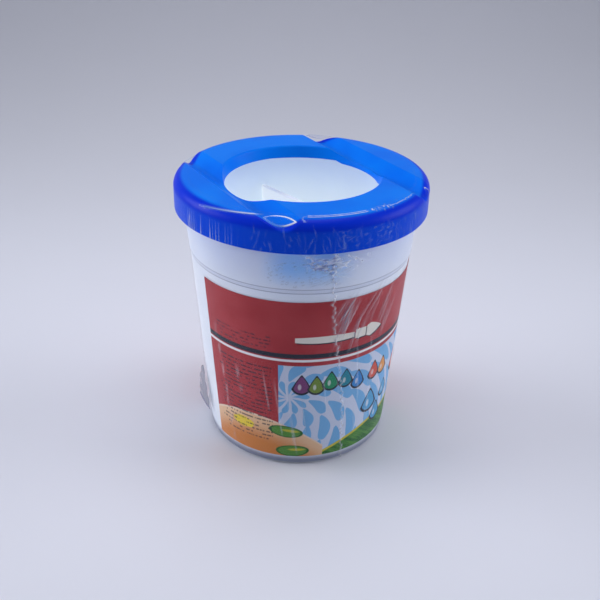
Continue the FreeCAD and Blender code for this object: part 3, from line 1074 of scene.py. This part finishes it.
@dataclass
class LidBand:
    """Film over the lid's skirt and edge, bridging the four groove ends."""

    material: Material
    seed: int = 23
    edge_round: float = 3.5
    gap: float = 0.1
    inner_radius: float = 36.9
    fine_from: float = -190.0
    coarse_from: float = -40.0
    rows: int = 104
    lines: tuple[tuple[float, float], ...] = ((5.5, 1.2), (6.4, 1.0))
    line_span: tuple[float, float] = (-119.0, -90.0)
    highlight_loop: tuple[float, float, float] = (-119.0, 4.6, 1.1)
    highlight_knot_count: int = 26
    dimple_count: int = 46
    wrinkle_count: int = 80
    bridges: tuple[Bridge, ...] = (
        Bridge(-130.0, 6.7, 3.6, 1.75, 1.5, 0.0),
        Bridge(-47.4, 1.9, 1.9, 1.5, 1.3, 0.0),
        Bridge(132.6, 6.4, 3.4, 1.75, 0.5, 0.16),
        Bridge(50.0, 6.4, 3.4, 1.75, 0.5, 0.16),
    )
    film: BandRelief = field(init=False)

    def build(self) -> bpy.types.Object:
        """Make the band and put it in place of its CAD solid.

        Returns:
            The piece.
        """
        low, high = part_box("lid_film")
        lid_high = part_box("lid")[1]
        radius, top, bottom = lid_high.y / MM, lid_high.z / MM, low.z / MM
        fine = np.arange(self.fine_from, self.coarse_from, 0.3)
        coarse = np.arange(self.coarse_from, self.fine_from + 360, 0.9)
        around, step = np.meshgrid(np.concatenate([fine, coarse]), np.linspace(0, 1, self.rows))
        turn = np.radians(around)
        inner = self.inner_radius + 0.5 * ripple(8, 7, turn, 3, 26) + 0.35 * ripple(9, 5, turn, 40, 110)
        skirt = top - self.edge_round - bottom
        bend = self.edge_round * math.pi / 2
        flat = radius - self.edge_round - inner
        length = skirt + bend + flat
        run = step * length
        corner = np.clip((run - skirt) / self.edge_round, 0, math.pi / 2)
        offset = self.edge_round + self.gap
        reach = radius - self.edge_round + offset * np.cos(corner) - np.clip(run - skirt - bend, 0, None)
        z = np.where(run < skirt, bottom + run, top - self.edge_round + offset * np.sin(corner))
        film = self.film = BandRelief(self.seed, around, run, run - skirt, length)
        self._pleats()
        self._edge_lines()
        self._highlight_knots()
        self._highlight_loop()
        self._wrinkles()
        self._bridges()
        reach = reach + film.out * np.cos(corner)
        z = np.minimum(z + np.clip(film.out * np.sin(corner), -0.06, 0.16), high.z / MM)
        points = np.stack([reach * np.cos(turn), reach * np.sin(turn), z], axis=-1)
        piece = sheet_mesh("lid_film_crinkled", points, True, {"fold": film.fold}, self.material)
        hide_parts("lid_film")
        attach(piece, "cover")
        return piece

    @staticmethod
    def span(around: np.ndarray, first: float, last: float, fade: float) -> np.ndarray:
        """1 between two angles, fading over some degrees at each end."""
        return np.clip((around - first) / fade, 0, 1) * np.clip((last - around) / fade, 0, 1)

    def _pleats(self) -> None:
        """Upright pleats in the skirt, with painted highlights on them that are strongest at two sides, and
        the film's inner edge, raised a little and with a faint painted highlight.
        """
        film = self.film
        skirt = film.run[0, 0] - film.rise[0, 0]
        lower = np.clip(1 - film.run / (skirt * 1.1), 0, 1)
        pleats = ripple(31, 10, film.turn, 110, 330)
        film.add(lower * pleats, out=0.10)
        sides = self.span(film.around, -190, -148, 9) + self.span(film.around, -84, -44, 12)
        film.add((0.35 + 4.6 * sides) * lower * np.clip(pleats - 0.15, 0, 1), fold=1.0)
        edge = ridge(film.run - film.length, 0.3)
        film.add(edge * (0.5 + 0.5 * ripple(12, 5, film.turn, 30, 160)), fold=0.12)
        film.add(edge, out=0.05)

    def _edge_lines(self) -> None:
        """Painted highlight lines along the lid's edge: a soft one, a double one with rungs and a short
        one.
        """
        film = self.film
        around, rise = film.around, film.rise
        soft = ridge(rise - 2.5 - 0.09 * (around + 168), 0.42) * self.span(around, -170, -137, 5)
        film.add((0.45 + 0.018 * (around + 168)) * soft, fold=1.0)
        along = self.span(around, *self.line_span, 1)
        for lift, power in self.lines:
            film.add(ridge(rise - lift, 0.16) * along, fold=power)
        rungs = np.clip(ripple(41, 4, film.turn, 150, 420) * 2 - 0.3, 0, 1)
        film.add(rungs * ridge(rise - 5.95, 0.4) * along, fold=0.5)
        waver = 0.3 * ripple(43, 4, film.turn, 60, 200)
        film.add(ridge(rise - 5.2 - waver, 0.16) * self.span(around, -80, -58, 3), fold=0.9)

    def _highlight_knots(self) -> None:
        """A tangle of short fold-like painted highlights between the double line and the short one."""
        film = self.film
        draw = film.chance.uniform
        for _ in range(self.highlight_knot_count):
            middle, at = draw(-89, -77), draw(4.4, 7.2)
            near = np.radians(film.around - middle) * 40.0
            slanted = near - (film.rise - at) * draw(-1, 1)
            film.add(ridge(slanted, 0.2) * ridge(film.rise - at, 0.45), fold=0.75)

    def _highlight_loop(self) -> None:
        """The painted highlight loop in which the double line ends."""
        film = self.film
        angle, rise, radius = self.highlight_loop
        across, up = np.radians(film.around - angle) * 41.0, (film.rise - rise) * 0.9
        loop = ridge(np.hypot(across, up) - radius, 0.2)
        film.add(loop * (0.5 - 0.5 * np.tanh((across + 0.1) * 3)), fold=0.6)

    def _wrinkles(self) -> None:
        """Dimples and fine slanted wrinkles across the front of the skirt, each with a faint painted
        highlight.
        """
        film = self.film
        draw = film.chance.uniform
        for _ in range(self.dimple_count):
            middle, at = draw(-106, -80), draw(0.8, 7.0)
            near = np.radians(film.around - middle) * 42.0
            dimple = ridge(near / 0.45, 1.0) * ridge((film.run - at - 0.4 * near) / 0.16, 1.0)
            film.add(dimple, out=-0.05, fold=0.3)
        for _ in range(self.wrinkle_count):
            middle, at = draw(-142, -62), draw(0.5, 7.0)
            near = np.radians(film.around - middle) * 42.0
            lean, wide, long = draw(-0.8, 0.5), draw(0.12, 0.3), draw(0.4, 1.6)
            mark = ridge(near - (film.run - at) * lean, wide) * ridge((film.run - at) / long, 1.0)
            film.add(mark, out=0.08, fold=draw(0.08, 0.26))

    def _bridges(self) -> None:
        """The film across each groove end, with its painted highlights."""
        film = self.film
        for bridge in self.bridges:
            near = (film.around - bridge.middle) / bridge.spread
            high = (film.rise - bridge.centre + 0.35 * near) / bridge.tall
            eye = np.abs(high) - (1 - near ** 2)
            inside = np.clip(-eye, 0, 1)
            rim = ridge(eye, 0.17) * (np.abs(near) < 1.12) * (0.65 + 0.35 * np.tanh(2 * near + high))
            film.add(rim, out=0.10, fold=bridge.bright)
            film.add(inside, out=-0.15, fold=bridge.veil_sheen)


@dataclass
class FilmTab:
    """Loose pointed flap of film that stands off the cup near its foot."""

    material: Material
    middle: float = 165.0
    half_width: float = 7.5
    low: float = 9.5
    high: float = 24.5
    wall: float = 32.85
    flare: float = WALL_FLARE
    stand: float = 0.3
    lift: float = 2.6

    def build(self) -> bpy.types.Object:
        """Make the flap.

        Returns:
            The piece.
        """
        side, step = np.meshgrid(np.linspace(-1, 1, 25), np.linspace(0, 1, 49))
        taper = np.cos(np.clip(step, 0, 0.999) * math.pi / 2) ** 0.6
        turn = np.radians(self.middle + side * self.half_width * taper - 3.0 * step)
        z = self.low + (self.high - self.low) * step - 0.8 * side * (1 - step)
        out = self.stand + self.lift * np.clip(1 - step, 0, 1) ** 0.5 * (0.6 - 0.4 * side)
        out += 0.12 * np.sin(step * 19) * side
        radius = self.wall + self.flare * z + out
        points = np.stack([radius * np.cos(turn), radius * np.sin(turn), z], axis=-1)
        # Painted highlight along one side of the flap and painted shade along its lower edge.
        marks = {"fold": 0.35 * ridge(side * taper - 0.2, 0.1), "dark": 0.7 * ridge(step, 0.05)}
        piece = sheet_mesh("film_tab", points, False, marks, self.material)
        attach(piece, "pot")
        return piece


# ---------------------------------------------------------------- moulded pieces

@dataclass
class Mouldings:
    """The CAD mouldings and the label, which keep their shape and get their finishes."""

    finishes: dict[str, Material] = field(default_factory=dict)

    def dress(self) -> None:
        """Give each carried-over node its finish."""
        for name, material in self.finishes.items():
            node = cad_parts[name]
            node.data.materials.clear()
            node.data.materials.append(material)
            LOG.info("dressed %s", name)


# ---------------------------------------------------------------- stage

@dataclass(frozen=True)
class SoftBox:
    """One rectangular light, placed round the pot from the camera's side."""

    name: str
    turn: float
    reach: float
    height: float
    wide: float
    tall: float
    power: float
    spread: float


@dataclass
class Studio:
    """Floor sweep, soft lights and the camera."""

    facing: float = -121.3
    distance: float = 253.63
    eye_height: float = 187.77
    dip: float = 28.894
    pan: float = -0.08
    roll: float = 1.341
    lens: float = 48.71
    sensor: float = 36.0
    cool: Colour = (0.95, 0.96, 1.0)
    aim_height: float = 0.05
    boxes: tuple[SoftBox, ...] = (
        SoftBox("top_light", 180, 0.10, 0.75, 0.6, 0.5, 0.5, 75),
        SoftBox("left_light", -95, 0.60, 0.26, 0.45, 0.4, 0.46, 60),
        SoftBox("right_light", 95, 0.60, 0.26, 0.45, 0.4, 0.36, 60),
    )
    surround: Colour = (0.86, 0.88, 0.96)
    surround_strength: float = 0.33
    floor_half: float = 8000.0
    floor_front: float = 8000.0
    floor_back: float = 420.0
    curve: float = 260.0
    curve_steps: int = 16
    backdrop_high: float = 1500.0

    def toward(self, turn: float, reach: float, height: float) -> Vector:
        """A point at an angle from the camera's side of the object, in metres."""
        angle = math.radians(self.facing + turn)
        return Vector((reach * math.cos(angle), reach * math.sin(angle), height))

    def camera(self) -> None:
        """Stand the camera at the object's usual viewing angle."""
        data = bpy.data.cameras.new("camera")
        data.lens = self.lens
        data.sensor_width = self.sensor
        data.clip_start = 0.01
        eye = bpy.data.objects.new("camera", data)
        eye.location = self.toward(0, self.distance * MM, self.eye_height * MM)
        yaw = math.radians(self.facing + 90 + self.pan)
        turn = Matrix.Rotation(yaw, 4, "Z") @ Matrix.Rotation(math.radians(90 - self.dip), 4, "X")
        turn = turn @ Matrix.Rotation(math.radians(self.roll), 4, "Z")
        eye.rotation_euler = turn.to_euler()
        bpy.context.scene.collection.objects.link(eye)
        bpy.context.scene.camera = eye

    def lamp(self, box: SoftBox) -> None:
        """A soft rectangular light that faces the pot.

        Args:
            box: its name, place, size and power.
        """
        data = bpy.data.lights.new(box.name, "AREA")
        data.shape = "RECTANGLE"
        data.size, data.size_y = box.wide, box.tall
        data.energy = box.power
        data.color = self.cool
        data.spread = math.radians(box.spread)
        lamp = bpy.data.objects.new(box.name, data)
        lamp.location = self.toward(box.turn, box.reach, box.height)
        aim = Vector((0, 0, self.aim_height)) - lamp.location
        lamp.rotation_euler = aim.to_track_quat("-Z", "Y").to_euler()
        bpy.context.scene.collection.objects.link(lamp)

    def lights(self) -> None:
        """Top, left and right soft boxes and a pale surround."""
        for box in self.boxes:
            self.lamp(box)
        world = bpy.data.worlds.new("surround")
        world.use_nodes = True
        back = world.node_tree.nodes["Background"]
        back.inputs["Color"].default_value = (*self.surround, 1)
        back.inputs["Strength"].default_value = self.surround_strength
        bpy.context.scene.world = world

    def sweep(self, material: Material) -> None:
        """A floor that curves up into the backdrop behind the pot.

        Args:
            material: its paper.
        """
        start = self.floor_back - self.curve
        profile = [(-self.floor_front, 0.0), (0.0, 0.0), (start, 0.0)]
        for step in range(1, self.curve_steps + 1):
            angle = math.radians(90 * step / self.curve_steps)
            rise = self.curve - self.curve * math.cos(angle)
            profile.append((start + self.curve * math.sin(angle), rise))
        profile.append((self.floor_back, self.backdrop_high))
        away = self.toward(180, 1.0, 0.0)
        side = self.toward(90, 1.0, 0.0)
        rows = []
        for depth, up in profile:
            line = [away * depth + side * across for across in (-self.floor_half, 0.0, self.floor_half)]
            rows.append([(spot.x, spot.y, up) for spot in line])
        piece = sheet_mesh("floor_sweep", np.array(rows), False, {}, material)

    def build(self, material: Material) -> None:
        """Set the whole stage.

        Args:
            material: the sweep's paper.
        """
        self.camera()
        self.lights()
        self.sweep(material)
        bpy.context.scene.view_settings.view_transform = "Standard"


def main() -> None:
    """Build every piece in order."""
    logging.basicConfig(level=logging.INFO, format="%(name)s: %(message)s")
    Studio().build(StagePaper().build())
    Mouldings({
        "lid": LidPlastic().build(),
        "cup": CupPlastic().build(),
        "divider": DividerPlastic().build(),
        "label": LabelPrint().build(),
    }).dress()
    sleeve_film = ShrinkFilm("sleeve_film_clear")
    # The lid film's painted highlights are pale blue where they are weak.
    lid_film = ShrinkFilm("lid_film_clear", haze=0.0, fold_share=0.85, grazing=0.02,
                          tint=linear(140, 185, 250))
    tab_film = ShrinkFilm("tab_film", haze=0.78, tint=linear(128, 131, 146))
    for maker, film in ((Sleeve, sleeve_film), (LidBand, lid_film), (FilmTab, tab_film)):
        piece = maker(film.build()).build()
        LOG.info("built %s with %d points", piece.name, len(piece.data.vertices))


if __name__ == "__main__":
    main()
